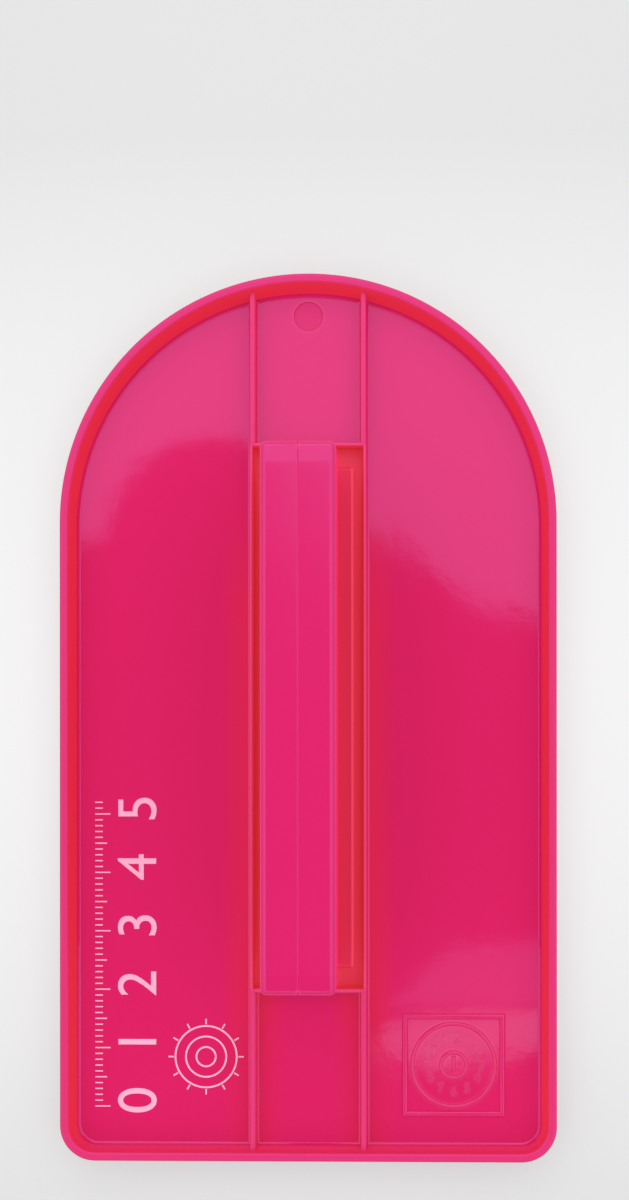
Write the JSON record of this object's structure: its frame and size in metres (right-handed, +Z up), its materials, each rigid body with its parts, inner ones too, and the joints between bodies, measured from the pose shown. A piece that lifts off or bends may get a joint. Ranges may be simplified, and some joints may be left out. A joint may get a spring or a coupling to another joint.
{
  "type": "icing smoother",
  "caption": "Flat rimmed plate, round at its nose and square at its heel, with long ribs and a tall bar handle, for smoothing rolled icing on cakes.",
  "frame": {"origin": "on the flat underside of the sole, in the middle of the plate's length and width", "axes": "+Y along the plate towards its round end, +Z up from the sole towards the handle's top, +X to the right when the round end points away"},
  "size_m": [0.084, 0.15, 0.045],
  "materials": {
    "pink_plastic": "glossy, slightly translucent moulding",
    "print_ink": "pad-printed ink"
  },
  "bodies": {
    "root": {"base_tray": "pink_plastic", "handle_left_shell": "pink_plastic", "handle_right_shell": "pink_plastic"}
  },
  "joints": []
}
